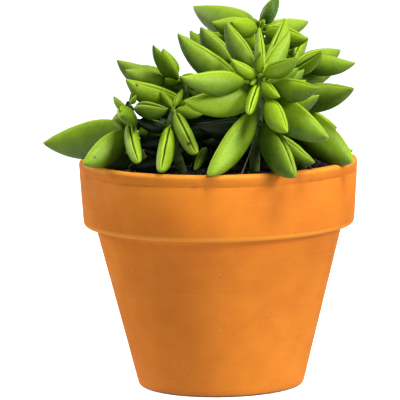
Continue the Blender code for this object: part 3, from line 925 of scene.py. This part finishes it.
class PEPEROMIA_OT_rear_leaves(bpy.types.Operator):
    """Fill the plant's inside and its far side with leaves that stay clear of the others"""

    bl_idname = "peperomia.rear_leaves"
    bl_label = "Rear leaves"

    TILT = math.radians(7.8)
    HEADROOM = (0, 0, 6 * MM)  # below the top of the plant's box
    GAP = 75  # degrees to each side of the front, where none is tried
    SHRINKS = (1.0, 0.8, 0.6)

    def fits(self, bm, taken, outline):
        """Whether a leaf stays in the plant's box, clear of the others, and behind its front outline."""
        low = Vector(min(vert.co[i] for vert in bm.verts) for i in range(3))
        high = Vector(max(vert.co[i] for vert in bm.verts) for i in range(3))
        if any(low[i] < CAD_BOX[0][i] or high[i] > CAD_BOX[1][i] - self.HEADROOM[i] for i in range(3)):
            return False
        tree = BVHTree.FromBMesh(bm)
        if any(tree.overlap(other) for other in taken):
            return False
        bare = 0
        for vert in bm.verts:
            column, level = self.seen(vert.co)
            bare += level > outline.get(column, 0.0)
        return bare < 0.1 * len(bm.verts)

    def seen(self, point):
        """A point's column and level as they show from the front and a little above."""
        return round(point.x / (2 * MM)), point.z * math.cos(self.TILT) + point.y * math.sin(self.TILT)

    def shaded(self, bm, front):
        """Whether a leaf lies low and shows through the leaves in front of it."""
        toward = Vector((0, -math.cos(self.TILT), math.sin(self.TILT)))
        shown = sum(front.ray_cast(vert.co + toward * 0.5 * MM, toward)[0] is None for vert in bm.verts)
        inner = all(abs(vert.co.x) < 42 * MM and vert.co.z < POT_TOP.z + 26 * MM for vert in bm.verts)
        return inner and shown > 0.05 * len(bm.verts)

    def outline(self):
        """The highest level that the placed leaves reach in each column."""
        top = {}
        for name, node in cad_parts.items():
            if not name.startswith("leaf_"):
                continue
            for edge in node.data.edges:
                low, high = (node.data.vertices[i].co for i in edge.vertices)
                for step in range(6):
                    column, level = self.seen(low.lerp(high, step / 5))
                    top[column] = max(top.get(column, 0.0), level)
        return top

    def execute(self, context):
        leaves = context.scene.peperomia_leaves
        skin = leaf_material(leaves, "leaf_skin_rear")
        taken = [solid_tree(node.data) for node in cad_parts.values()]
        outline = self.outline()
        leaves_only = bmesh.new()
        for name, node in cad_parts.items():
            if name.startswith("leaf_"):
                leaves_only.from_mesh(node.data)
        front = BVHTree.FromBMesh(leaves_only)
        leaves_only.free()
        chance = random.Random(11)
        for shoot in SHOOTS:
            line, foot_radius = stem_line(shoot)
            top = (line[-1].z - POT_TOP.z) / MM
            bm = leaf_bmesh()
            for i in range(leaves.rear_leaves):
                share = (i + 0.5) / leaves.rear_leaves
                height = 2 + (top - 6) * share
                azimuth = (137.5 * i + chance.uniform(-15, 15)) % 360
                if min(azimuth, 360 - azimuth) < self.GAP:
                    continue
                length = (31 - 15 * share) * chance.uniform(0.85, 1.05)
                elevation = -22 + 58 * share + chance.uniform(-8, 8)
                for shrink in self.SHRINKS:
                    size = length * shrink
                    row = (height, azimuth, elevation, chance.uniform(-20, 20), size, size * 0.4)
                    form = drawn_form(line, foot_radius * 1.9, row)
                    rough = leaf_bmesh()
                    fold_leaf(rough, form._replace(reach=0.1 * MM), LeafLook(), 8, 10, i)
                    clear = self.fits(rough, taken, outline)
                    if clear:
                        taken.append(BVHTree.FromBMesh(rough))
                        tone, bloom = chance.uniform(0.05, 0.35) + 0.3 * share, chance.uniform(0.1, 0.4)
                        look = LeafLook(DEEP_SHADE if self.shaded(rough, front) else tone, bloom)
                        fold_leaf(bm, form, look, 22, 26, 300 + i)
                    rough.free()
                    if clear:
                        break
            if bm.verts:
                make_piece(f"rear_{shoot}", bm, skin)
            else:
                bm.free()
        return {"FINISHED"}


class PEPEROMIA_OT_litter(bpy.types.Operator):
    """Lay root hairs, a dry stalk and a few small leaves on the soil"""

    bl_idname = "peperomia.litter"
    bl_label = "Litter"

    STALK = ((8, -43, 85), (9, -42, 89), (11.6, -38.5, 95), (14.6, -34, 102.5))  # in mm, from its foot
    # Small low leaves: base, tip and depth in mm.
    SEEDLINGS = (
        ((-4.6, -30.0, 97.7), (-8.9, -42.0, 90.7), 4.5),
        ((12.4, -39.5, 85.5), (11.4, -41.5, 90.0), 2.2),
        ((12.8, -39.0, 85.5), (14.6, -41.0, 89.0), 2.0),
        ((6.9, -37.0, 85.5), (6.1, -40.0, 89.4), 2.4),
        ((7.2, -37.0, 85.5), (8.8, -39.6, 88.6), 1.8),
        ((-21.2, -18.0, 107.4), (-16.6, -22.0, 105.5), 1.6),
    )

    def execute(self, context):
        pot, soil = context.scene.peperomia_pot, context.scene.peperomia_soil
        ground = pot.height - soil.below_lip + 0.6 * MM
        edge = pot.rim_radius - pot.wall - 1 * MM
        hair = hair_material(soil)
        make_piece("root_hairs", self.hairs(soil, edge, ground), hair)
        stalk = bmesh.new()
        points = [Vector(point) * MM for point in self.STALK]
        sweep(stalk, smooth_line(points, 6), [0.28 * MM] * 12 + [0.2 * MM] * 7, 6)
        make_piece("dry_stalk", stalk, hair)
        skin = leaf_material(context.scene.peperomia_leaves, "leaf_skin_small")
        make_piece("seedlings", self.seedlings(), skin)
        return {"FINISHED"}

    def seedlings(self):
        bm = leaf_bmesh()
        for seed, (base, tip, depth) in enumerate(self.SEEDLINGS):
            base, tip = Vector(base) * MM, Vector(tip) * MM
            along = (tip - base).normalized()
            side = Vector((0, 0, 1)).cross(along).normalized()
            turn = Matrix((along, side, along.cross(side))).transposed()
            form = LeafForm(base, turn, (tip - base).length, depth * MM, depth * 0.8 * MM, 0.5 * MM)
            fold_leaf(bm, form, LeafLook(0.15, 0.3, 1.4), 16, 20, 400 + seed)
        return bm

    def hairs(self, soil, edge, ground):
        """Fine fibres that lie in low arcs on the soil."""
        chance = random.Random(21)
        bm = bmesh.new()
        for _ in range(soil.hairs):
            far, angle = edge * chance.uniform(0.2, 0.96), chance.uniform(0, math.tau)
            heading, length = chance.uniform(0, math.tau), chance.uniform(3, 9) * MM
            start = Vector((far * math.cos(angle), far * math.sin(angle), ground))
            step = Vector((math.cos(heading), math.sin(heading), 0)) * length / 5
            points = []
            for i in range(6):
                lift = chance.uniform(0.2, 2.0) * MM * math.sin(math.pi * i / 5)
                stray = Vector((chance.uniform(-0.4, 0.4), chance.uniform(-0.4, 0.4), 0)) * MM
                point = start + step * i + stray
                inside = min(1.0, edge / max(point.xy.length, MM))
                points.append(Vector((point.x * inside, point.y * inside, ground + lift)))
            sweep(bm, points, [chance.uniform(0.07, 0.14) * MM] * 6, 4)
        return bm


class PEPEROMIA_OT_stage(bpy.types.Operator):
    """Set the floor, the lights and the camera"""

    bl_idname = "peperomia.stage"
    bl_label = "Stage"

    MIDDLE = (0, 0, 0.09)
    # Lamps: name, place, the point it faces, size and colour.
    LIGHTS = (
        ("key", (1.08, -0.68, 0.62), MIDDLE, 0.45, (1.0, 0.98, 0.93)),
        ("top", (0.30, -0.30, 1.15), MIDDLE, 0.45, (1.0, 0.99, 0.95)),
        ("fill", (-0.60, -1.10, 0.30), MIDDLE, 0.7, (1.0, 0.98, 0.96)),
        ("edge", (-0.80, 0.35, 0.45), MIDDLE, 0.5, (1.0, 1.0, 1.0)),
        ("bounce", (0, -0.40, 0.0005), (0, -0.40, 1), 0.8, (1.0, 0.99, 0.97)),
    )
    YAW, PITCH, ROLL = 0.0049, -0.1368, -0.0145  # the camera's, in radians from level and facing +Y

    def light(self, name, place, aim, size, colour, energy):
        lamp = bpy.data.lights.new(f"{name}_light", "AREA")
        lamp.shape = "DISK"
        lamp.size = size
        lamp.energy = energy
        lamp.color = colour
        obj = bpy.data.objects.new(f"{name}_light", lamp)
        bpy.context.scene.collection.objects.link(obj)
        obj.location = place
        obj.rotation_euler = (Vector(aim) - Vector(place)).to_track_quat("-Z", "Y").to_euler()
        obj.visible_camera = False

    def surroundings(self, strength):
        """White as seen, and dimmer as a light, so that the plant's inside stays dark."""
        world = bpy.data.worlds.new("pale_room")
        bpy.context.scene.world = world
        world.use_nodes = True
        nodes, links = world.node_tree.nodes, world.node_tree.links
        seen = nodes.new("ShaderNodeLightPath")
        level = nodes.new("ShaderNodeMapRange")
        level.inputs["To Min"].default_value = strength
        level.inputs["To Max"].default_value = 1.0
        links.new(seen.outputs["Is Camera Ray"], level.inputs["Value"])
        links.new(level.outputs[0], nodes["Background"].inputs["Strength"])
        nodes["Background"].inputs["Color"].default_value = (1.0, 1.0, 1.0, 1.0)

    def execute(self, context):
        stage = context.scene.peperomia_stage
        bm = bmesh.new()
        bmesh.ops.create_circle(bm, cap_ends=True, segments=96, radius=stage.floor_radius)
        mesh = bpy.data.meshes.new("floor")
        bm.to_mesh(mesh)
        bm.free()
        mesh.materials.append(floor_material(stage))
        floor = bpy.data.objects.new("floor", mesh)
        context.scene.collection.objects.link(floor)
        floor.visible_diffuse = False
        for row in self.LIGHTS:
            self.light(*row, getattr(stage, f"{row[0]}_power"))
        self.surroundings(stage.sky)
        lens = bpy.data.cameras.new("camera")
        lens.lens = stage.lens
        lens.clip_end = 20.0
        camera = bpy.data.objects.new("camera", lens)
        context.scene.collection.objects.link(camera)
        place = Matrix.Translation((0, -stage.camera_distance, stage.camera_height))
        turn = Matrix.Rotation(self.YAW, 4, "Z") @ Matrix.Rotation(math.pi / 2 + self.PITCH, 4, "X")
        camera.matrix_world = place @ turn @ Matrix.Rotation(self.ROLL, 4, "Z")
        context.scene.camera = camera
        context.scene.view_settings.view_transform = "Standard"
        return {"FINISHED"}


class PEPEROMIA_PT_panel(bpy.types.Panel):
    """The pieces and their settings"""

    bl_label = "Potted Peperomia"
    bl_idname = "PEPEROMIA_PT_panel"
    bl_space_type = "VIEW_3D"
    bl_region_type = "UI"
    bl_category = "Peperomia"

    def draw(self, context):
        for operator in OPERATORS:
            self.layout.operator(operator.bl_idname)
        for name in GROUPS:
            box = self.layout.box()
            group = getattr(context.scene, name)
            for key in group.__annotations__:
                box.prop(group, key)


GROUPS = {
    "peperomia_pot": PeperomiaPot,
    "peperomia_soil": PeperomiaSoil,
    "peperomia_leaves": PeperomiaLeaves,
    "peperomia_stage": PeperomiaStage,
}
OPERATORS = (
    PEPEROMIA_OT_pot,
    PEPEROMIA_OT_soil,
    PEPEROMIA_OT_stems,
    PEPEROMIA_OT_leaves,
    PEPEROMIA_OT_young_leaves,
    PEPEROMIA_OT_rear_leaves,
    PEPEROMIA_OT_litter,
    PEPEROMIA_OT_stage,
)


def register():
    for made in (*GROUPS.values(), *OPERATORS, PEPEROMIA_PT_panel):
        bpy.utils.register_class(made)
    for name, group in GROUPS.items():
        setattr(bpy.types.Scene, name, PointerProperty(type=group))


def unregister():
    for name in GROUPS:
        delattr(bpy.types.Scene, name)
    for made in reversed((*GROUPS.values(), *OPERATORS, PEPEROMIA_PT_panel)):
        bpy.utils.unregister_class(made)


def main():
    register()
    for operator in OPERATORS:
        group, name = operator.bl_idname.split(".")
        if getattr(getattr(bpy.ops, group), name)() != {"FINISHED"}:
            raise RuntimeError(f"{operator.bl_label} wasn't made")


if __name__ == "__main__":
    main()
